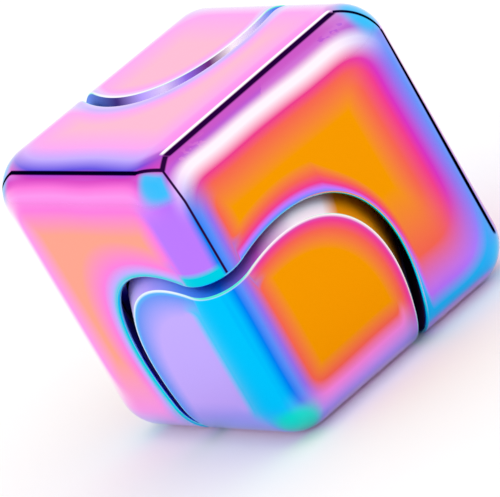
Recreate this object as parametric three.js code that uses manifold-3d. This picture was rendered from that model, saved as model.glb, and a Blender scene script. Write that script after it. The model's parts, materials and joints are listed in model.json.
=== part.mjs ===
// Corner-cap spinner cube: a rounded metal cube, cut round one body diagonal into a main body
// and two corner caps. The caps share a pin that turns in a ball bearing in the middle of the
// body, so the cube can be held by two opposite corners and spun.
// Millimetres, +Z up. The cube stands on a face, and the origin is under its centre.
import * as THREE from "three";
import { RoundedBoxGeometry } from "three/addons/geometries/RoundedBoxGeometry.js";
import { mergeVertices } from "three/addons/utils/BufferGeometryUtils.js";
import Module from "manifold-3d";

const wasm = await Module();
wasm.setup();

// ---------------------------------------------------------------- sizes
// The cube. Heights below are measured from its centre along the body diagonal.
const edge = 30;
const edgeRadius = 4.4;
const capRadius = 12.4;
const capGap = 1;
const webHalfHeight = 5.2;
const capLift = 0.6;
const capFloor = webHalfHeight + capLift;
const fit = 0.05; // clearance between pieces that sit on or in each other

// The bearing, a standard 6.35 x 12.7 x 4.762 mm one with ten 1/16 inch balls.
const boreRadius = 3.175;
const outerRadius = 6.35;
const bearingHalfWidth = 2.381;
const ballCount = 10;
const ballRadius = 0.794;
const ballPlay = 0.066;
const pitchRadius = (boreRadius + outerRadius) / 2;
const trackRadius = ballRadius + ballPlay;
const landOffset = 0.515;
const innerLand = pitchRadius - landOffset;
const outerLand = pitchRadius + landOffset;
const ringChamfer = 0.2;
const shieldThickness = 0.25;
const shieldSeatWall = 0.5;
const shieldSeatRadius = outerRadius - shieldSeatWall;
const shieldSeatDepth = 0.45;
const shieldGap = 0.1;
const cageThickness = 0.6;
const cageRim = 0.29;

// The bearing's seat in the body, with a shoulder below it and a snap ring above it.
const seatRadius = outerRadius + fit;
const shoulderWidth = 1;
const snapRingThickness = 0.7;
const snapRingReach = 0.6;
const grooveDepth = 0.4;
const snapRingMouth = THREE.MathUtils.degToRad(50);

// The pin that carries both caps, and the sleeves that hold them off the inner ring.
const pinRadius = boreRadius - fit;
const pinHalfLength = 12;
const pinChamfer = 0.4;
const sleeveStep = 0.15;

// Facets round a full turn.
const shellFacets = 96;
const seatFacets = 48;
const ringFacets = 32;
const roundFacets = 12;

// ---------------------------------------------------------------- tools
// A closed geometry as a manifold solid.
function solidOf(geometry) {
  const bare = geometry.clone();
  bare.deleteAttribute("normal");
  bare.deleteAttribute("uv");
  const merged = mergeVertices(bare, 1e-4);
  const mesh = new wasm.Mesh({
    numProp: 3,
    vertProperties: merged.getAttribute("position").array,
    triVerts: new Uint32Array(merged.getIndex().array),
  });
  return new wasm.Manifold(mesh);
}

// A manifold solid as a flat-shaded geometry.
function geometryOf(solid) {
  const mesh = solid.getMesh();
  const geometry = new THREE.BufferGeometry();
  geometry.setAttribute("position", new THREE.BufferAttribute(mesh.vertProperties, 3));
  geometry.setIndex(new THREE.BufferAttribute(mesh.triVerts, 1));
  const flat = geometry.toNonIndexed();
  flat.computeVertexNormals();
  return flat;
}

// A profile of [radius, height] points turned about +Z. It rises on the outside.
function turned(profile, facets) {
  const points = profile.map(([radius, height]) => new THREE.Vector2(radius, height));
  const geometry = new THREE.LatheGeometry(points, facets);
  return geometry.rotateX(Math.PI / 2);
}

// A tube, or a disc where the inner radius is 0.
function tube(inner, outer, bottom, top, facets) {
  const corners = [[inner, bottom], [outer, bottom], [outer, top], [inner, top]];
  if (inner > 0) corners.push([inner, bottom]);
  return turned(corners, facets);
}

// Points on an arc about [pitchRadius, 0], for the ball tracks.
function trackArc(fromAngle, toAngle, steps) {
  const points = [];
  for (let i = 0; i <= steps; i += 1) {
    const angle = THREE.MathUtils.lerp(fromAngle, toAngle, i / steps);
    points.push([
      pitchRadius + trackRadius * Math.cos(angle),
      trackRadius * Math.sin(angle),
    ]);
  }
  return points;
}

function piece(name, geometry, finish) {
  const mesh = new THREE.Mesh(geometry, new THREE.MeshStandardMaterial(finish));
  mesh.name = name;
  return mesh;
}

// ---------------------------------------------------------------- finishes
const rainbowPink = { color: 0xd977d2, roughness: 0.18, metalness: 1 };
const rainbowViolet = { color: 0xb08cf0, roughness: 0.18, metalness: 1 };
const rainbowOrange = { color: 0xf0a05a, roughness: 0.18, metalness: 1 };
const groundSteel = { color: 0xb9bdc2, roughness: 0.25, metalness: 1 };
const polishedSteel = { color: 0xdadde0, roughness: 0.08, metalness: 1 };
const pressedSteel = { color: 0xa9adb3, roughness: 0.4, metalness: 1 };
const springSteel = { color: 0x50545a, roughness: 0.5, metalness: 1 };
const sleeveBrass = { color: 0xc9a55c, roughness: 0.35, metalness: 1 };

// ---------------------------------------------------------------- the cube's shells
const up = new THREE.Vector3(0, 0, 1);
const diagonal = new THREE.Vector3(1, 1, 1).normalize();
const ontoDiagonal = new THREE.Quaternion().setFromUnitVectors(up, diagonal);
const beyondCube = edge;

function roundedCube() {
  const filletSteps = 4;
  return solidOf(new RoundedBoxGeometry(edge, edge, edge, filletSteps, edgeRadius));
}

// A turned cutter, laid along the body diagonal.
function diagonalCutter(geometry) {
  return solidOf(geometry.applyQuaternion(ontoDiagonal));
}

// The main body: both cap pockets, and the bearing's seat through the web between them.
function cubeBody() {
  const pocketRadius = capRadius + capGap;
  const shoulderRadius = seatRadius - shoulderWidth;
  const shoulder = -bearingHalfWidth - fit;
  const grooveBottom = bearingHalfWidth + fit;
  const grooveTop = grooveBottom + snapRingThickness + 2 * fit;
  const seatProfile = [
    [0, -capFloor],
    [shoulderRadius, -capFloor],
    [shoulderRadius, shoulder],
    [seatRadius, shoulder],
    [seatRadius, grooveBottom],
    [seatRadius + grooveDepth, grooveBottom],
    [seatRadius + grooveDepth, grooveTop],
    [seatRadius, grooveTop],
    [seatRadius, capFloor],
    [0, capFloor],
  ];
  const upperPocket = tube(0, pocketRadius, webHalfHeight, beyondCube, shellFacets);
  const lowerPocket = tube(0, pocketRadius, -beyondCube, -webHalfHeight, shellFacets);
  const body = roundedCube()
    .subtract(diagonalCutter(upperPocket))
    .subtract(diagonalCutter(lowerPocket))
    .subtract(diagonalCutter(turned(seatProfile, seatFacets)));
  return piece("cube_body", geometryOf(body), rainbowPink);
}

// The corner of the cube on the upper end of the diagonal, with a blind bore for the pin.
function cornerCap() {
  const column = tube(0, capRadius, capFloor, beyondCube, shellFacets);
  const pinBore = tube(0, boreRadius, 0, pinHalfLength + fit, ringFacets);
  return geometryOf(
    roundedCube().intersect(diagonalCutter(column)).subtract(diagonalCutter(pinBore)),
  );
}

function upperCap() {
  return piece("upper_cap", cornerCap(), rainbowOrange);
}

// The same corner, turned half a turn about a level face diagonal.
function lowerCap() {
  const cap = piece("lower_cap", cornerCap(), rainbowViolet);
  const acrossDiagonal = new THREE.Vector3(1, -1, 0).normalize();
  cap.quaternion.setFromAxisAngle(acrossDiagonal, Math.PI);
  return cap;
}

// ---------------------------------------------------------------- the bearing
function outerRing() {
  const lip = bearingHalfWidth - shieldSeatDepth;
  const landAngle = Math.acos(landOffset / trackRadius);
  const profile = [
    [outerRadius - ringChamfer, -bearingHalfWidth],
    [outerRadius, -bearingHalfWidth + ringChamfer],
    [outerRadius, bearingHalfWidth - ringChamfer],
    [outerRadius - ringChamfer, bearingHalfWidth],
    [shieldSeatRadius, bearingHalfWidth],
    [shieldSeatRadius, lip],
    [outerLand, lip],
    ...trackArc(landAngle, -landAngle, 5),
    [outerLand, -lip],
    [shieldSeatRadius, -lip],
    [shieldSeatRadius, -bearingHalfWidth],
    [outerRadius - ringChamfer, -bearingHalfWidth],
  ];
  return piece("bearing_outer_ring", turned(profile, ringFacets), groundSteel);
}

function innerRing() {
  const landAngle = Math.acos(-landOffset / trackRadius);
  const profile = [
    [boreRadius + ringChamfer, -bearingHalfWidth],
    [innerLand, -bearingHalfWidth],
    ...trackArc(-landAngle, landAngle - 2 * Math.PI, 5),
    [innerLand, bearingHalfWidth],
    [boreRadius + ringChamfer, bearingHalfWidth],
    [boreRadius, bearingHalfWidth - ringChamfer],
    [boreRadius, -bearingHalfWidth + ringChamfer],
    [boreRadius + ringChamfer, -bearingHalfWidth],
  ];
  return piece("bearing_inner_ring", turned(profile, ringFacets), groundSteel);
}

// A band with a round pocket for each ball.
function ballCage() {
  const inner = pitchRadius - cageThickness / 2;
  const outer = pitchRadius + cageThickness / 2;
  const halfWidth = trackRadius + cageRim;
  const pocketReach = 2 * cageThickness;
  const pocket = new THREE.CylinderGeometry(trackRadius, trackRadius, pocketReach, roundFacets);
  pocket.rotateZ(Math.PI / 2).translate(pitchRadius, 0, 0);
  let band = solidOf(tube(inner, outer, -halfWidth, halfWidth, 2 * ballCount));
  for (let i = 0; i < ballCount; i += 1) {
    const turnedPocket = pocket.clone().rotateZ(ballAngle(i));
    band = band.subtract(solidOf(turnedPocket));
  }
  return piece("bearing_cage", geometryOf(band), sleeveBrass);
}

function ballAngle(i) {
  return (2 * Math.PI * i) / ballCount;
}

function balls() {
  return Array.from({ length: ballCount }, (_, i) => {
    const geometry = new THREE.SphereGeometry(ballRadius, roundFacets, roundFacets / 2);
    const ball = piece("bearing_ball_" + (i + 1), geometry, polishedSteel);
    ball.position.set(pitchRadius, 0, 0).applyAxisAngle(up, ballAngle(i));
    return ball;
  });
}

// A thin washer pressed into the outer ring's lip. It stays clear of the inner ring.
function shield(name, side) {
  const face = bearingHalfWidth - fit - shieldThickness;
  const bottom = side > 0 ? face : -face - shieldThickness;
  const rim = shieldSeatRadius - fit;
  return piece(
    name,
    tube(innerLand + shieldGap, rim, bottom, bottom + shieldThickness, ringFacets),
    pressedSteel,
  );
}

// An open flat ring in the groove above the bearing.
function snapRing() {
  const outer = seatRadius + grooveDepth - 2 * fit;
  const inner = outerRadius - snapRingReach;
  const start = snapRingMouth / 2;
  const end = 2 * Math.PI - start;
  const outline = new THREE.Shape();
  outline.absarc(0, 0, outer, start, end, false);
  outline.absarc(0, 0, inner, end, start, true);
  const geometry = new THREE.ExtrudeGeometry(outline, {
    depth: snapRingThickness,
    bevelEnabled: false,
    curveSegments: ringFacets,
  });
  geometry.translate(0, 0, bearingHalfWidth + 2 * fit);
  return piece("bearing_snap_ring", geometry, springSteel);
}

// ---------------------------------------------------------------- the pin and its sleeves
function spindlePin() {
  const profile = [
    [0, -pinHalfLength],
    [pinRadius - pinChamfer, -pinHalfLength],
    [pinRadius, -pinHalfLength + pinChamfer],
    [pinRadius, pinHalfLength - pinChamfer],
    [pinRadius - pinChamfer, pinHalfLength],
    [0, pinHalfLength],
  ];
  return piece("spindle_pin", turned(profile, ringFacets), groundSteel);
}

// A sleeve between the bearing's inner ring and the underside of a cap.
function capSleeve(name, side) {
  const nearEnd = bearingHalfWidth + fit;
  const farEnd = capFloor - fit;
  const bottom = side > 0 ? nearEnd : -farEnd;
  const top = bottom + farEnd - nearEnd;
  const outer = innerLand - sleeveStep;
  return piece(name, tube(boreRadius, outer, bottom, top, ringFacets), sleeveBrass);
}

// ---------------------------------------------------------------- the assembly
const shells = new THREE.Group();
shells.add(cubeBody(), upperCap(), lowerCap());

const spindle = new THREE.Group();
spindle.quaternion.copy(ontoDiagonal);
spindle.add(
  spindlePin(),
  capSleeve("upper_sleeve", 1),
  capSleeve("lower_sleeve", -1),
  outerRing(),
  innerRing(),
  ballCage(),
  ...balls(),
  shield("upper_shield", 1),
  shield("lower_shield", -1),
  snapRing(),
);

const cube = new THREE.Group();
cube.position.z = edge / 2;
cube.add(shells, spindle);

// The part's own frame has its origin on the surface that the cube stands on.
const part = new THREE.Group();
part.add(cube);

export default part;
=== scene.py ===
import json
import math

import bpy
import numpy as np
from mathutils import Matrix, Vector


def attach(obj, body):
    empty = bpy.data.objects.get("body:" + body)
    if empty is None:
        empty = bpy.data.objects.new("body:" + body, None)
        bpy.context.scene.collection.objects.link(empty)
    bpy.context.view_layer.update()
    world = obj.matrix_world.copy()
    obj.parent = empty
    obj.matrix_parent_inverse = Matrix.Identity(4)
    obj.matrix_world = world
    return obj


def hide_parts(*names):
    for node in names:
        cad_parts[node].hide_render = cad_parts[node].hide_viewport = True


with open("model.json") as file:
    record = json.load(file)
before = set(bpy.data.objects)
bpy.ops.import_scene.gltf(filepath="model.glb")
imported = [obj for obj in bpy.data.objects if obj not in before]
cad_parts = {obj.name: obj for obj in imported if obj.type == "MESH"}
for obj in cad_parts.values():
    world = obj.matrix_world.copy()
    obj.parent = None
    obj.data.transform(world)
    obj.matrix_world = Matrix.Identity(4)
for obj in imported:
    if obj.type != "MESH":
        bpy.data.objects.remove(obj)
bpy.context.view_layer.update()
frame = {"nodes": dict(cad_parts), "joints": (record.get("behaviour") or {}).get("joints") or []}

MM = 0.001

# ---------------------------------------------------------------- sizes from the frame
SPIN = next(joint for joint in frame["joints"] if joint["name"] == "cap_spin")
CENTRE = np.array(SPIN["pos_m"])
AXIS = np.array(SPIN["axis"]) / np.linalg.norm(SPIN["axis"])
ACROSS = np.cross(AXIS, (0, 0, 1)) / np.linalg.norm(np.cross(AXIS, (0, 0, 1)))
ROUND = np.cross(AXIS, ACROSS)


def cad_points(node):
    """A CAD node's vertices, from the cube's centre."""
    mesh = frame["nodes"][node].data
    points = np.empty(3 * len(mesh.vertices))
    mesh.vertices.foreach_get("co", points)
    return points.reshape(-1, 3) - CENTRE


def along_axis(points):
    return points @ AXIS


def from_axis(points):
    return np.linalg.norm(points - np.outer(along_axis(points), AXIS), axis=1)


body_points = cad_points("cube_body")
cap_points = cad_points("upper_cap")
HALF = np.abs(body_points).max()
underside = body_points[body_points[:, 2] < -HALF + 1e-6]
EDGE_RADIUS = HALF - np.abs(underside[:, :2]).max()
FLAT_HALF = HALF - EDGE_RADIUS
CAP_RADIUS = from_axis(cap_points).max()
CAP_FLOOR = along_axis(cap_points).min()
inside_pocket = body_points[from_axis(body_points) < 0.93 * HALF]
POCKET_RADIUS = from_axis(inside_pocket).max()
bore_points = cap_points[from_axis(cap_points) > 1e-6]
BORE_RADIUS = from_axis(bore_points).min()
BORE_END = along_axis(bore_points)[from_axis(bore_points) < 1.01 * BORE_RADIUS].max()
WEB_HALF = np.abs(along_axis(inside_pocket)[from_axis(inside_pocket) > 0.97 * POCKET_RADIUS]).min()
seat_points = inside_pocket[from_axis(inside_pocket) < 0.6 * POCKET_RADIUS]
GROOVE_RADIUS = from_axis(seat_points).max()
groove_heights = along_axis(seat_points)[from_axis(seat_points) > 0.999 * GROOVE_RADIUS]
GROOVE_LOW, GROOVE_HIGH = groove_heights.min(), groove_heights.max()
SEAT_RADIUS = from_axis(seat_points)[from_axis(seat_points) < 0.97 * GROOVE_RADIUS].max()
SHOULDER_RADIUS = from_axis(seat_points)[from_axis(seat_points) < 0.93 * SEAT_RADIUS].max()
SEAT_LOW = -GROOVE_LOW

CAP_ROUND = 0.28 * MM
RIM_ROUND = 0.25 * MM
WALL_RADIUS = POCKET_RADIUS - RIM_ROUND
CORNER_ROUND = 0.12 * MM
COLUMNS = 480

# ---------------------------------------------------------------- rows of points round the axis
TURN = np.linspace(0, 2 * np.pi, COLUMNS, endpoint=False)
SPOKES = np.outer(np.cos(TURN), ACROSS) + np.outer(np.sin(TURN), ROUND)


def cube_distance(points):
    """Signed distance to the rounded cube, negative inside."""
    beyond = np.abs(points) - FLAT_HALF
    outside = np.linalg.norm(np.maximum(beyond, 0), axis=-1)
    return outside + np.minimum(beyond.max(axis=-1), 0) - EDGE_RADIUS


def outward(points):
    """The rounded cube's outward direction at points on or just under its surface."""
    beyond = np.maximum(np.abs(points) - FLAT_HALF, 0) * np.sign(points)
    return beyond / np.linalg.norm(beyond, axis=-1, keepdims=True)


def reach(start, step, depth=0.0):
    """How far to go from start along step to be depth under the rounded cube's surface."""
    low = np.zeros(len(start))
    high = np.full(len(start), 2 * HALF)
    for _ in range(40):
        middle = (low + high) / 2
        inside = cube_distance(start + middle[:, None] * step) < -depth
        low = np.where(inside, middle, low)
        high = np.where(inside, high, middle)
    return middle


def rolled_edge(spine_radius, wall_side, ball, steps):
    """The round that a ball leaves between an upper wall and the outer surface, wall first."""
    start = spine_radius * SPOKES
    step = np.tile(AXIS, (COLUMNS, 1))
    centres = start + reach(start, step, ball)[:, None] * step
    wall = wall_side * SPOKES
    top = outward(centres)
    angle = np.arccos(np.sum(wall * top, axis=1))[:, None]
    rows = []
    for share in np.linspace(0, 1, steps + 1):
        normal = (np.sin((1 - share) * angle) * wall + np.sin(share * angle) * top) / np.sin(angle)
        rows.append((centres + ball * normal, normal))
    return rows


def bearings_of(points):
    """Angle from the axis, and angle round it, of each point."""
    polar = np.arctan2(from_axis(points), along_axis(points))
    around = np.arctan2(points @ ROUND, points @ ACROSS)
    return polar, TURN + np.remainder(around - TURN + np.pi, 2 * np.pi) - np.pi


def outer_rows(first, last, steps):
    """Rows on the rounded cube strictly between two rows, each a pair (polar, around)."""
    rows = []
    for share in np.linspace(0, 1, steps + 1)[1:-1]:
        polar = (1 - share) * first[0] + share * last[0]
        around = (1 - share) * first[1] + share * last[1]
        spokes = np.outer(np.cos(around), ACROSS) + np.outer(np.sin(around), ROUND)
        step = np.cos(polar)[:, None] * AXIS + np.sin(polar)[:, None] * spokes
        points = reach(0 * step, step)[:, None] * step
        rows.append((points, outward(points)))
    return rows


def circle(radius, height, normal):
    """A row round the axis; normal is its (radial, axial) direction."""
    points = radius * SPOKES + height * AXIS
    return points, normal[0] * SPOKES + normal[1] * AXIS


def turned_rows(corners, round_radius=CORNER_ROUND, steps=3):
    """Rows of a turned outline of (radius, height) corners, each corner but the ends rounded."""
    corners = [np.array(corner, float) for corner in corners]
    rows = []
    for before, corner, after in zip(corners, corners[1:], corners[2:]):
        arriving = (corner - before) / np.linalg.norm(corner - before)
        leaving = (after - corner) / np.linalg.norm(after - corner)
        turn = math.atan2(arriving[0] * leaving[1] - arriving[1] * leaving[0], arriving @ leaving)
        side = math.copysign(1, turn)
        centre = corner - round_radius * math.tan(abs(turn) / 2) * arriving
        centre = centre + side * round_radius * np.array([-arriving[1], arriving[0]])
        for share in np.linspace(0, 1, steps + 1):
            angle = math.atan2(arriving[1], arriving[0]) + share * turn
            normal = np.array([-math.sin(angle), math.cos(angle)])
            place = centre - side * round_radius * normal
            rows.append(circle(place[0], place[1], normal))
    return rows


def between(first, last, steps):
    """Rows strictly between two rows of one straight wall."""
    shares = np.linspace(0, 1, steps + 1)[1:-1]
    return [((1 - share) * first[0] + share * last[0], first[1]) for share in shares]


def opposite(row):
    """A row's mirror image through the cube's centre."""
    return tuple(-np.roll(part, COLUMNS // 2, axis=0) for part in row)


def shell(name, rows, poles=()):
    """A mesh of rows joined each to the next; two poles close its ends, or it closes on itself."""
    points = np.concatenate([row[0] for row in rows] + [pole[0][None] for pole in poles])
    normals = np.concatenate([row[1] for row in rows] + [pole[1][None] for pole in poles])
    ahead = np.roll(np.arange(COLUMNS), -1)
    faces = []
    last = len(rows) if not poles else len(rows) - 1
    for row in range(last):
        here = row * COLUMNS
        below = (row + 1) % len(rows) * COLUMNS
        quads = zip(here + np.arange(COLUMNS), below + np.arange(COLUMNS), below + ahead, here + ahead)
        faces.extend(quads)
    if poles:
        first_pole = len(rows) * COLUMNS
        end = (len(rows) - 1) * COLUMNS
        faces.extend((first_pole, column, ahead[column]) for column in range(COLUMNS))
        faces.extend((first_pole + 1, end + ahead[column], end + column) for column in range(COLUMNS))
    mesh = bpy.data.meshes.new(name)
    faces = [tuple(int(corner) for corner in face) for face in faces]
    mesh.from_pydata((points + CENTRE).tolist(), [], faces)
    mesh.shade_smooth()
    mesh.normals_split_custom_set_from_vertices(normals.tolist())
    piece = bpy.data.objects.new(name, mesh)
    bpy.context.scene.collection.objects.link(piece)
    return piece


# ---------------------------------------------------------------- the three outer shells
def body_shell():
    upper = rolled_edge(WALL_RADIUS + RIM_ROUND, -1, RIM_ROUND, 6)
    lower = [opposite(row) for row in upper]
    outer = outer_rows(bearings_of(upper[-1][0]), bearings_of(lower[-1][0]), 130)
    bore = turned_rows([
        (WALL_RADIUS, -WEB_HALF - 1 * MM),
        (WALL_RADIUS, -WEB_HALF),
        (SHOULDER_RADIUS, -WEB_HALF),
        (SHOULDER_RADIUS, SEAT_LOW),
        (SEAT_RADIUS, SEAT_LOW),
        (SEAT_RADIUS, GROOVE_LOW),
        (GROOVE_RADIUS, GROOVE_LOW),
        (GROOVE_RADIUS, GROOVE_HIGH),
        (SEAT_RADIUS, GROOVE_HIGH),
        (SEAT_RADIUS, WEB_HALF),
        (WALL_RADIUS, WEB_HALF),
        (WALL_RADIUS, WEB_HALF + 1 * MM),
    ])
    rows = [upper[-1]] + outer + lower[::-1]
    rows += between(lower[0], bore[0], 5) + bore
    rows += between(bore[-1], upper[0], 5) + upper[:-1]
    return shell("body_shell", rows)


def cap_rows():
    """The upper cap's rows from the cube's corner round to the end of its blind bore."""
    edge = rolled_edge(CAP_RADIUS - CAP_ROUND, 1, CAP_ROUND, 12)
    top = bearings_of(edge[-1][0])
    outer = outer_rows((0 * top[0], TURN), top, 80)
    turned = turned_rows([
        (CAP_RADIUS, CAP_FLOOR + 1 * MM),
        (CAP_RADIUS, CAP_FLOOR),
        (BORE_RADIUS, CAP_FLOOR),
        (BORE_RADIUS, BORE_END),
        (0, BORE_END),
    ])
    rows = outer + edge[::-1] + between(edge[0], turned[0], 5) + turned
    corner = float(reach(np.zeros((1, 3)), AXIS[None])[0])
    poles = ((corner * AXIS, AXIS), (BORE_END * AXIS, -AXIS))
    return rows, poles


def cap_shell(name, lower):
    rows, poles = cap_rows()
    if lower:
        rows = [opposite(row) for row in reversed(rows)]
        poles = [(-place, -facing) for place, facing in reversed(poles)]
    return shell(name, rows, poles)


body = body_shell()
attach(body, "main_body")
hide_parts("cube_body")
upper_cap = cap_shell("upper_cap_shell", lower=False)
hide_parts("upper_cap")
lower_cap = cap_shell("lower_cap_shell", lower=True)
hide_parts("lower_cap")
for cap in (upper_cap, lower_cap):
    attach(cap, "corner_caps")


# ---------------------------------------------------------------- node materials
class Nodes:
    """A material's nodes, added and wired from numbers, colours or other nodes' outputs."""

    def __init__(self, name):
        self.material = bpy.data.materials.new(name)
        self.material.use_nodes = True
        self.tree = self.material.node_tree
        self.shader = self.tree.nodes["Principled BSDF"]

    def add(self, kind, **settings):
        node = self.tree.nodes.new("ShaderNode" + kind)
        for setting, value in settings.items():
            setattr(node, setting, value)
        return node

    def put(self, socket, value):
        if isinstance(value, bpy.types.NodeSocket):
            self.tree.links.new(value, socket)
        else:
            socket.default_value = value

    def math(self, operation, *values, clamp=False):
        node = self.add("Math", operation=operation, use_clamp=clamp)
        for socket, value in zip(node.inputs, values):
            self.put(socket, value)
        return node.outputs[0]

    def vector(self, operation, *values):
        node = self.add("VectorMath", operation=operation)
        for socket, value in zip(node.inputs, values):
            self.put(socket, value)
        return node.outputs["Value" if operation in ("DOT_PRODUCT", "LENGTH") else "Vector"]

    def span(self, value, low, high, low_to=0.0, high_to=1.0, smooth=False):
        node = self.add("MapRange", interpolation_type="SMOOTHSTEP" if smooth else "LINEAR")
        for socket, setting in zip(node.inputs, (value, low, high, low_to, high_to)):
            self.put(socket, setting)
        return node.outputs[0]

    def noise(self, place, scale, detail=2.0, roughness=0.5):
        node = self.add("TexNoise")
        self.put(node.inputs["Vector"], place)
        self.put(node.inputs["Scale"], scale)
        self.put(node.inputs["Detail"], detail)
        self.put(node.inputs["Roughness"], roughness)
        return node.outputs["Fac"]

    def ramp(self, value, stops):
        """A colour ramp; each stop is (place, colour) or (place, colour, alpha)."""
        node = self.add("ValToRGB")
        elements = node.color_ramp.elements
        while len(elements) < len(stops):
            elements.new(1.0)
        for element, (place, colour, *alpha) in zip(elements, stops):
            element.position = place
            element.color = (*linear(colour), alpha[0] if alpha else 1.0)
        self.put(node.inputs[0], value)
        return node.outputs["Color"], node.outputs["Alpha"]

    def mix(self, share, under, over):
        node = self.add("Mix", data_type="RGBA")
        colours = [socket for socket in node.inputs if socket.type == "RGBA"]
        self.put(node.inputs[0], share)
        self.put(colours[0], under if isinstance(under, bpy.types.NodeSocket) else (*linear(under), 1))
        self.put(colours[1], over if isinstance(over, bpy.types.NodeSocket) else (*linear(over), 1))
        return next(socket for socket in node.outputs if socket.type == "RGBA")


def linear(colour):
    """A colour of 0 to 255 display values as the linear values that Blender wants."""
    shares = [value / 255 for value in colour]
    return [share / 12.92 if share <= 0.04045 else ((share + 0.055) / 1.055) ** 2.4 for share in shares]


# ---------------------------------------------------------------- the rainbow coating
# The film thins towards edges and cuts, so its colour changes in rings round each face's core.
# Each side of a face, and its cut, has stops of (place, colour) that begin with the core's colour.
# A side's place is the distance from the cube's middle as a share of the half edge, and a cut's
# is 1 at the cut's edge and 0 at CUT_REACH from it.
CUT_REACH = 4 * MM

# The film's colours, named and listed, and the pale painted highlights and dark painted reflections and
# shade that part them.
GOLD = (240, 150, 0)
CORAL = (240, 100, 80)
ROSE = (235, 60, 140)
MAGENTA = (210, 50, 190)
MAUVE = (200, 85, 195)
SALMON = (255, 155, 130)
PINK = (255, 168, 200)
FUCHSIA = (250, 115, 220)
ORCHID = (250, 145, 235)
LILAC = (185, 120, 255)
LAVENDER = (190, 165, 255)
VIOLET = (150, 110, 230)
INDIGO = (80, 60, 220)
BLUE = (90, 140, 245)
AZURE = (0, 125, 240)
CYAN = (0, 195, 250)
TEAL = (0, 205, 225)
SEA_GREEN = (0, 230, 205)
AQUA_HIGHLIGHT = (120, 225, 240)
PEARL = (225, 205, 250)
PAINTED_HIGHLIGHT = (255, 240, 250)
WHITE = (255, 255, 255)
BRONZE = (170, 110, 60)
UMBER = (60, 30, 20)
WINE = (110, 35, 120)
INK = (60, 30, 130)
REFLECTION_PLUM = (40, 5, 60)

# The near-white stops on rounded edges in these ramps are painted highlights.
BODY_Y = {
    "-z": [(0.05, GOLD), (0.50, CORAL), (0.75, LILAC), (0.85, CYAN)],
    "+x": [(0.40, GOLD), (0.55, CORAL), (0.65, ROSE), (0.70, MAGENTA), (0.78, VIOLET), (0.86, BLUE)],
    "+z": [(0.50, GOLD), (0.70, CORAL), (0.76, ROSE), (0.84, PAINTED_HIGHLIGHT), (0.87, PAINTED_HIGHLIGHT), (0.92, MAUVE)],
    "-x": [(0.60, GOLD), (0.70, CORAL), (0.76, VIOLET), (0.80, BLUE), (0.85, AZURE), (0.89, LILAC)],
    "cut": [(0.50, GOLD), (0.70, CORAL), (0.82, ROSE), (0.90, LILAC), (0.96, BLUE), (1.0, CYAN)],
}
BODY_X = {
    "-z": [(0.35, SALMON), (0.75, ORCHID), (0.90, LAVENDER)],
    "+y": [(0.55, SALMON), (0.72, ORCHID), (0.78, PAINTED_HIGHLIGHT), (0.86, PAINTED_HIGHLIGHT), (0.89, MAUVE), (0.93, ORCHID)],
    "+z": [(0.56, SALMON), (0.74, FUCHSIA), (0.83, ORCHID), (0.87, FUCHSIA), (0.91, MAGENTA),
           (0.95, INDIGO)],
    "-y": [(0.55, SALMON), (0.70, FUCHSIA), (0.77, LILAC)],
    "cut": [(0.30, SALMON), (0.72, FUCHSIA), (0.87, LAVENDER), (0.95, TEAL)],
}
# The pale PEARL band by the far edges is a painted highlight.
FAR_EDGE = [(0.40, PINK), (0.70, ORCHID), (0.85, PEARL), (0.95, LAVENDER)]
BODY_Z = {
    "+x": FAR_EDGE,
    "+y": FAR_EDGE,
    "-y": [(0.50, PINK), (0.75, ORCHID), (0.82, ORCHID), (0.84, MAUVE)],
    "-x": [(0.50, PINK), (0.70, ORCHID), (0.80, LAVENDER), (0.87, INDIGO), (0.91, MAGENTA), (0.95, FUCHSIA)],
    "cut": [(0.45, PINK), (0.72, ORCHID), (0.87, LAVENDER), (1.0, PEARL)],
}
CAP_Y = {
    "-z": [(0.60, GOLD), (0.70, CORAL), (0.78, ORCHID), (0.90, LAVENDER)],
    "-x": [(0.60, GOLD), (0.71, CORAL), (0.77, VIOLET), (0.81, BLUE), (0.85, AZURE), (0.90, CYAN)],
    "+x": [(0.60, GOLD), (0.75, ROSE), (0.85, ORCHID)],
    "cut": [(0.55, GOLD), (0.80, CORAL), (0.92, ROSE), (1.0, MAUVE)],
}
CAP_X = {
    "-z": [(0.65, LAVENDER), (0.95, BLUE)],
    "-y": [(0.50, LAVENDER), (0.60, LAVENDER), (0.68, CYAN), (0.90, CYAN), (0.95, AZURE)],
    "cut": [(0.50, LAVENDER), (0.90, BLUE), (1.0, CYAN)],
}
CAP_Z = {
    "+x": FAR_EDGE,
    "+y": FAR_EDGE,
    "cut": [(0.70, PINK), (0.88, ORCHID), (1.0, PEARL)],
}

# Painted reflections along the rounded edges, as the surface's facing directions: dark lines that stand for
# reflected dark surroundings, and one white painted highlight.
# Three dark ones meet by the corner that points to the viewer, and they run on round the next corners.
LEFT, FRONT, TOP = np.array((-1, 0, 0)), np.array((0, -1, 0)), np.array((0, 0, 1))


def leaning(first, second, degrees, third=0.0):
    """The direction this far from the first axis towards the second, and a share of a third."""
    turn = math.radians(degrees)
    lean = math.cos(turn) * first + math.sin(turn) * second + third
    return lean / np.linalg.norm(lean)


# Above the cut, where it crosses the edge between the left and front faces.
CROSSING = TEAL

LINE_KNOT = np.array((-0.37, -0.60, 0.71))
TOP_LEFT = leaning(TOP, LEFT, 37)
LINE_CORE = 0.55
LINE_FADE = 0.015
LINE_FULL = 0.003
PAST_CORNER = 0.12
ALONG_EDGE = 0.05
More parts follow.
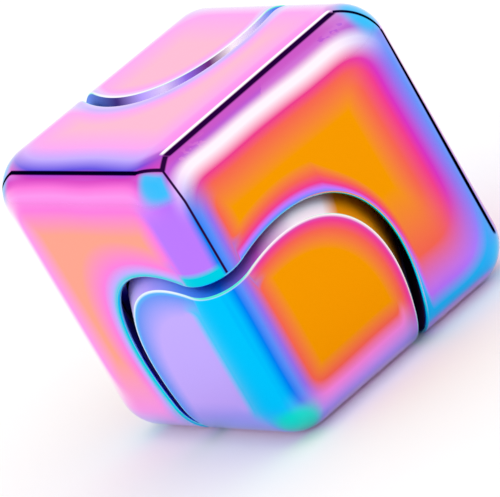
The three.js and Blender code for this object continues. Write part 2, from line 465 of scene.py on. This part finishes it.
# Each has a colour, two ends, half a width in degrees, and its drift with the place on its edge.
PAINTED_EDGE_LINES = [
    (WHITE, leaning(TOP, FRONT, 20.5, -ALONG_EDGE * LEFT), leaning(TOP, FRONT, 20.5, ALONG_EDGE * LEFT),
     3.0, (0.06, 0, 0)),
    (REFLECTION_PLUM, TOP_LEFT, LINE_KNOT, 3.0, None),
    (REFLECTION_PLUM, TOP_LEFT, leaning(LEFT, -FRONT, 40, 0.3 * TOP), 3.0, None),
    (REFLECTION_PLUM, leaning(FRONT, LEFT, 26), LINE_KNOT, 1.9, None),
    (REFLECTION_PLUM, leaning(TOP, FRONT, 31, PAST_CORNER * LEFT), LINE_KNOT, 4.4, None),
    (REFLECTION_PLUM, leaning(TOP, FRONT, 27, -ALONG_EDGE * LEFT), leaning(TOP, FRONT, 27, ALONG_EDGE * LEFT),
     5.6, (0.06, 0, 0)),
    (REFLECTION_PLUM, leaning(TOP, FRONT, 23, -PAST_CORNER * LEFT), leaning(FRONT, -LEFT, 45, PAST_CORNER * TOP),
     3.6, None),
    (REFLECTION_PLUM, leaning(FRONT, -LEFT, 41, ALONG_EDGE * TOP), leaning(FRONT, -LEFT, 41, -ALONG_EDGE * TOP),
     6.4, (0, 0, -0.087)),
]

# Painted reflections and painted shade round the cut's wall, by the turn about the axis from opposite
# ACROSS, as shares of a turn; the dark stops are the gap's painted shade.
CAP_WALL_REFLECTIONS = [(0.00, VIOLET), (0.06, PEARL), (0.14, LAVENDER), (0.20, BLUE), (0.25, AZURE), (0.30, MAUVE),
            (0.35, PAINTED_HIGHLIGHT), (0.39, PAINTED_HIGHLIGHT), (0.41, GOLD), (0.46, GOLD), (0.52, UMBER), (0.60, BLUE),
            (0.67, INK), (0.71, LAVENDER), (0.74, PEARL), (0.77, VIOLET), (0.80, WINE), (0.83, PAINTED_HIGHLIGHT),
            (0.86, PEARL), (0.89, BLUE), (0.95, INDIGO)]
BODY_WALL_REFLECTIONS = [(0.00, INDIGO), (0.25, AZURE), (0.42, BRONZE), (0.60, WINE), (0.85, VIOLET)]


# How square a ring's corners are, how much a cut's own colours count where a side is as near,
# and how much narrower the cut's rings get by the right edge.
RING_CORNER = 3.0
CUT_PULL = 0.3
CUT_SQUEEZE = 5.0


def face_film(nodes, sides, layers, cut_gap, narrows, drift):
    """One face's film: every side's colours at one ring distance, mixed by which side is near.

    narrows: whether the rings round the cut get narrower towards the face's +x side.
    """
    steps, shares = [], []
    for side, stops in layers.items():
        start = stops[0][0]
        if side == "cut":
            squeeze = nodes.math("MULTIPLY_ADD", nodes.math("MAXIMUM", sides[0], 0.0), CUT_SQUEEZE, 1.0)
            gap = nodes.math("MULTIPLY", cut_gap, squeeze if narrows else 1.0)
            place = nodes.math("SUBTRACT", 1.0, gap)
        else:
            sign = 1 if side[0] == "+" else -1
            place = nodes.math("MULTIPLY_ADD", sides["xyz".index(side[1])], sign, drift)
        step = nodes.span(place, start, 1.0)
        steps.append([((place - start) / (1 - start), colour) for place, colour in stops])
        shares.append(nodes.math("POWER", step, RING_CORNER))
    total = shares[0]
    for share in shares[1:]:
        total = nodes.math("ADD", total, share)
    ring = nodes.math("POWER", total, 1 / RING_CORNER, clamp=True)
    colour = nodes.ramp(ring, steps[0])[0]
    so_far = shares[0]
    shares[-1] = nodes.math("MULTIPLY", shares[-1], CUT_PULL)
    for share, stops in zip(shares[1:], steps[1:]):
        so_far = nodes.math("ADD", so_far, share)
        colour = nodes.mix(nodes.math("DIVIDE", share, so_far), colour, nodes.ramp(ring, stops)[0])
    return colour


def edge_line_cover(nodes, facing, place, start, end, half_width, drift):
    """Where the surface faces along the arc between two directions, or along its opposite."""
    start, end = [tip / np.linalg.norm(tip) for tip in (start, end)]
    across = np.cross(start, end) / np.linalg.norm(np.cross(start, end))
    offset = nodes.vector("DOT_PRODUCT", facing, tuple(across))
    if drift:
        shift = nodes.vector("DOT_PRODUCT", place, tuple(np.array(drift) / FLAT_HALF))
        offset = nodes.math("ADD", offset, shift)
    offset = nodes.math("ABSOLUTE", offset)
    edge = math.sin(math.radians(half_width))
    cover = nodes.span(offset, edge, LINE_CORE * edge)
    side = nodes.math("SIGN", nodes.vector("DOT_PRODUCT", facing, tuple(start + end)))
    for tip in (start, end):
        along = nodes.math("MULTIPLY", nodes.vector("DOT_PRODUCT", facing, tuple(tip)), side)
        reaches = nodes.span(along, start @ end - LINE_FADE, start @ end - LINE_FULL)
        cover = nodes.math("MULTIPLY", cover, reaches)
    return cover


# The rings' slow wander, how firmly a face keeps its film up to an edge, the painted highlight along a cut's
# rim with its strength, and how much duller the cut's walls are than the outside.
DRIFT_SCALE = 90.0
RING_DRIFT = 0.008
FACE_HOLD = 12.0
RIM_HIGHLIGHT_BAND = (0.16 * MM, 0.02 * MM)
RIM_HIGHLIGHT_STRENGTH = 0.85
CORNER_PATCH = (0.015, 0.15)
CORNER_STRENGTH = 0.9
# Painted shade: a dull dark lavender on the floors deep in the cut.
POCKET_FLOOR_SHADE = (120, 108, 170)
WALL_DULLNESS = 0.45


def coating(name, faces, wall_reflection_stops, rim_highlight_colour, corner_colour, cut_radius, cut_side, edge_lines=()):
    """The interference coating, with painted highlights, painted reflections and painted shade; faces go by
    the axis that each is square to.
    """
    nodes = Nodes(name)
    coordinates = nodes.add("TexCoord")
    place = nodes.vector("SUBTRACT", coordinates.outputs["Object"], tuple(CENTRE))
    facing = coordinates.outputs["Normal"]
    drift = nodes.span(nodes.noise(place, DRIFT_SCALE, 1.0), 0.3, 0.7, -RING_DRIFT, RING_DRIFT)

    radius = nodes.vector("LENGTH", nodes.vector("CROSS_PRODUCT", place, tuple(AXIS)))
    cut_gap = nodes.math("MULTIPLY", nodes.math("SUBTRACT", radius, cut_radius), cut_side / CUT_REACH)

    shares = nodes.add("SeparateXYZ")
    scaled = nodes.add("VectorMath", operation="SCALE")
    nodes.put(scaled.inputs[0], place)
    scaled.inputs["Scale"].default_value = 1 / HALF
    nodes.put(shares.inputs[0], scaled.outputs[0])
    normals = nodes.add("SeparateXYZ")
    nodes.put(normals.inputs[0], facing)

    diagonal = nodes.math("MULTIPLY", normals.outputs["X"], normals.outputs["Y"])
    edge = nodes.math("ABSOLUTE", diagonal)
    ring_gap = nodes.math("ADD", cut_gap, nodes.span(edge, 0.05, 0.30))

    weights = [nodes.math("POWER", nodes.math("ABSOLUTE", normals.outputs[axis]), FACE_HOLD)
               for axis in range(3)]
    total = nodes.math("ADD", nodes.math("ADD", weights[0], weights[1]), weights[2])
    # The film on a face and the film on the face opposite are point images of each other.
    front = (-1, -1, 1)
    colour = None
    for axis, layers in enumerate(faces):
        turn = nodes.math("MULTIPLY", nodes.math("SIGN", normals.outputs[axis]), front[axis])
        sides = [nodes.math("MULTIPLY", shares.outputs[side], turn) for side in range(3)]
        face = face_film(nodes, sides, layers, ring_gap, axis == 1 and cut_side > 0, drift)
        share = nodes.math("DIVIDE", weights[axis], total)
        colour = face if colour is None else nodes.mix(share, colour, face)

    # A painted highlight: a bright line along the cut's rounded rim.
    rim_highlight = nodes.span(cut_gap, RIM_HIGHLIGHT_BAND[0] / CUT_REACH, RIM_HIGHLIGHT_BAND[1] / CUT_REACH, high_to=RIM_HIGHLIGHT_STRENGTH)
    colour = nodes.mix(rim_highlight, colour, rim_highlight_colour)
    corner = nodes.math("ABSOLUTE", nodes.math("MULTIPLY", edge, normals.outputs["Z"]))
    corner = nodes.span(corner, *CORNER_PATCH, high_to=CORNER_STRENGTH, smooth=True)
    if edge_lines:
        across = [nodes.math("ABSOLUTE", normals.outputs[axis]) for axis in range(3)]
        lead = nodes.math("SUBTRACT", across[0], nodes.math("MAXIMUM", across[1], across[2]))
        kept = nodes.math("MAXIMUM", nodes.span(lead, -0.30, -0.10), nodes.math("LESS_THAN", diagonal, 0.0))
        corner = nodes.math("MULTIPLY", corner, kept)
        crossing = nodes.math("MULTIPLY", nodes.span(edge, 0.02, 0.16), nodes.span(lead, -0.44, -0.34))
        crossing = nodes.math("MULTIPLY", crossing, nodes.span(cut_gap, 0.30, 0.18))
        colour = nodes.mix(crossing, colour, CROSSING)
    colour = nodes.mix(corner, colour, corner_colour)
    # Painted edge lines: dark painted reflections and a white painted highlight, put into the colour and
    # into the specular tint.
    tint = WHITE
    for shade, *edge_line in edge_lines:
        cover = edge_line_cover(nodes, facing, place, *edge_line)
        colour = nodes.mix(cover, colour, shade)
        tint = nodes.mix(cover, tint, shade)
    if edge_lines:
        nodes.put(nodes.shader.inputs["Specular Tint"], tint)

    # Walls and floors inside the cut, with painted reflections and painted shade: the wall faces square to
    # the axis, the floor along it.
    height = nodes.vector("DOT_PRODUCT", place, tuple(AXIS))
    end_side = nodes.math("MULTIPLY", nodes.math("SIGN", height), -1.0)
    turned = [nodes.math("MULTIPLY", nodes.vector("DOT_PRODUCT", place, tuple(line)), end_side)
              for line in (ROUND, ACROSS)]
    angle = nodes.math("ARCTAN2", *turned)
    wall = nodes.ramp(nodes.span(angle, -math.pi, math.pi), wall_reflection_stops)[0]
    along = nodes.math("ABSOLUTE", nodes.vector("DOT_PRODUCT", facing, tuple(AXIS)))
    near_wall = nodes.math("LESS_THAN", nodes.math("SUBTRACT", radius, POCKET_RADIUS), 0.05 * MM)
    on_wall = nodes.math("MULTIPLY", nodes.span(along, 0.10, 0.02, smooth=True), near_wall)
    colour = nodes.mix(on_wall, colour, wall)
    # Painted shade on the floors deep in the cut.
    deep = nodes.math("LESS_THAN", nodes.math("ABSOLUTE", height), CAP_FLOOR + 0.2 * MM)
    shaded_floor = nodes.math("MULTIPLY", deep, near_wall)
    colour = nodes.mix(shaded_floor, colour, POCKET_FLOOR_SHADE)
    nodes.put(nodes.shader.inputs["Base Color"], colour)
    polished(nodes, place, on_wall)
    return nodes.material


def polished(nodes, place, on_wall):
    """Polished casting: faint orange peel, hair-fine handling scratches and finger haze."""
    nodes.shader.inputs["Metallic"].default_value = 1.0
    haze = nodes.span(nodes.noise(place, 260.0, 4.0, 0.6), 0.35, 0.75, 0.08, 0.15)
    haze = nodes.math("MULTIPLY_ADD", on_wall, WALL_DULLNESS, haze)
    nodes.put(nodes.shader.inputs["Roughness"], haze)
    peel = nodes.noise(place, 420.0, 1.0)
    stretched = nodes.vector("MULTIPLY", place, (1.0, 18.0, 1.0))
    scratches = nodes.noise(stretched, 900.0, 3.0, 0.7)
    relief = nodes.add("Bump")
    relief.inputs["Strength"].default_value = 0.05
    relief.inputs["Distance"].default_value = 0.02 * MM
    nodes.put(relief.inputs["Height"], scratches)
    waves = nodes.add("Bump")
    waves.inputs["Strength"].default_value = 0.12
    waves.inputs["Distance"].default_value = 0.03 * MM
    nodes.put(waves.inputs["Height"], peel)
    nodes.put(relief.inputs["Normal"], waves.outputs[0])
    nodes.put(nodes.shader.inputs["Normal"], relief.outputs[0])


def turned_metal(name, colour, roughness, groove=0.25):
    """Machined metal with turning rings about the axis and a little tone variation."""
    nodes = Nodes(name)
    coordinates = nodes.add("TexCoord")
    place = nodes.vector("SUBTRACT", coordinates.outputs["Object"], tuple(CENTRE))
    radius = nodes.vector("LENGTH", nodes.vector("CROSS_PRODUCT", place, tuple(AXIS)))
    height = nodes.vector("DOT_PRODUCT", place, tuple(AXIS))
    ring = nodes.add("CombineXYZ")
    nodes.put(ring.inputs[0], radius)
    nodes.put(ring.inputs[1], height)
    rings = nodes.noise(ring.outputs[0], 9000.0, 2.0)
    tone = nodes.noise(place, 700.0, 3.0)
    darker = tuple(0.86 * value for value in colour)
    nodes.put(nodes.shader.inputs["Base Color"], nodes.mix(nodes.span(tone, 0.3, 0.7), darker, colour))
    nodes.shader.inputs["Metallic"].default_value = 1.0
    nodes.put(nodes.shader.inputs["Roughness"],
              nodes.span(rings, 0.3, 0.7, 0.8 * roughness, 1.2 * roughness))
    relief = nodes.add("Bump")
    relief.inputs["Strength"].default_value = groove
    relief.inputs["Distance"].default_value = 0.004 * MM
    nodes.put(relief.inputs["Height"], rings)
    nodes.put(nodes.shader.inputs["Normal"], relief.outputs[0])
    return nodes.material


def paint(piece, material):
    piece.data.materials.clear()
    piece.data.materials.append(material)


body_coat = coating("rainbow_body_coat", (BODY_X, BODY_Y, BODY_Z), BODY_WALL_REFLECTIONS, AQUA_HIGHLIGHT, CYAN,
                    POCKET_RADIUS, 1, PAINTED_EDGE_LINES)
cap_coat = coating("rainbow_cap_coat", (CAP_X, CAP_Y, CAP_Z), CAP_WALL_REFLECTIONS, WHITE, SEA_GREEN,
                   CAP_RADIUS, -1)
paint(body, body_coat)
paint(upper_cap, cap_coat)
paint(lower_cap, cap_coat)

INNER_METALS = {
    "ground_steel": turned_metal("ground_steel_finish", (196, 199, 203), 0.22),
    "ball_steel": turned_metal("ball_steel_finish", (216, 219, 222), 0.07, groove=0.04),
    "shield_steel": turned_metal("shield_steel_finish", (178, 181, 185), 0.30),
    "spring_steel": turned_metal("spring_steel_finish", (84, 86, 90), 0.42),
    "sleeve_brass": turned_metal("sleeve_brass_finish", (208, 172, 98), 0.26),
    "cage_brass": turned_metal("cage_brass_finish", (200, 164, 92), 0.32),
}
for piece in frame["nodes"].values():
    for slot in piece.material_slots:
        finish = INNER_METALS.get(slot.material.name.split(".")[0])
        if finish:
            slot.material = finish

# ---------------------------------------------------------------- floor, light and camera
def floor():
    """A pale studio floor, large enough to fill every view of the cube."""
    mesh = bpy.data.meshes.new("floor")
    reach_out = 3.0
    corners = [(-reach_out, -reach_out, 0), (reach_out, -reach_out, 0),
               (reach_out, reach_out, 0), (-reach_out, reach_out, 0)]
    mesh.from_pydata(corners, [], [(0, 1, 2, 3)])
    plane = bpy.data.objects.new("floor", mesh)
    bpy.context.scene.collection.objects.link(plane)
    nodes = Nodes("pale_floor")
    coordinates = nodes.add("TexCoord")
    grain = nodes.noise(coordinates.outputs["Object"], 30.0, 3.0)
    nodes.put(nodes.shader.inputs["Base Color"], nodes.mix(grain, (246, 246, 247), (250, 250, 250)))
    nodes.shader.inputs["Roughness"].default_value = 0.9
    nodes.shader.inputs["Specular IOR Level"].default_value = 0.1
    paint(plane, nodes.material)


def direction(azimuth, elevation):
    """Unit direction; azimuth 0 is -Y, 90 is +X."""
    azimuth, elevation = math.radians(azimuth), math.radians(elevation)
    level = math.cos(elevation)
    return Vector((level * math.sin(azimuth), -level * math.cos(azimuth), math.sin(elevation)))


def softbox(name, azimuth, elevation, width, height, power, distance=0.5, roll=0.0):
    """A rectangular soft light that faces the cube."""
    light = bpy.data.lights.new(name, "AREA")
    light.shape = "RECTANGLE"
    light.size = width
    light.size_y = height
    light.energy = power
    lamp = bpy.data.objects.new(name, light)
    lamp.visible_glossy = False
    away = direction(azimuth, elevation)
    facing = away.to_track_quat("Z", "Y").to_matrix().to_4x4() @ Matrix.Rotation(math.radians(roll), 4, "Z")
    lamp.matrix_world = Matrix.Translation(Vector(CENTRE) + distance * away) @ facing
    bpy.context.scene.collection.objects.link(lamp)


def studio():
    world = bpy.data.worlds.new("studio")
    bpy.context.scene.world = world
    world.use_nodes = True
    background = world.node_tree.nodes["Background"]
    background.inputs["Color"].default_value = (1.0, 0.995, 0.99, 1)
    background.inputs["Strength"].default_value = 1.07
    softbox("overhead", 30, 70, 0.60, 0.60, 0.3)
    bpy.context.scene.view_settings.view_transform = "Standard"


# The view's place, aim, roll and lens came from fitting the cube's outline to the photograph.
CAMERA_PLACE = (-0.26855, -0.50824, 0.21008)
CAMERA_AZIMUTH = -27.70
CAMERA_ELEVATION = 18.98
CAMERA_ROLL = -30.48
LENS = 481.87
SENSOR = 36.0


def camera():
    """The photograph's view: a long lens above the front left edge, rolled so the cube leans."""
    data = bpy.data.cameras.new("camera")
    data.sensor_width = SENSOR
    data.lens = LENS
    data.clip_start = 0.01
    data.clip_end = 20.0
    view = bpy.data.objects.new("camera", data)
    towards = direction(CAMERA_AZIMUTH + 180, -CAMERA_ELEVATION)
    level = towards.to_track_quat("-Z", "Y").to_matrix().to_4x4()
    view.matrix_world = (Matrix.Translation(CAMERA_PLACE) @ level
                         @ Matrix.Rotation(math.radians(CAMERA_ROLL), 4, "Z"))
    bpy.context.scene.collection.objects.link(view)
    bpy.context.scene.camera = view


floor()
studio()
camera()
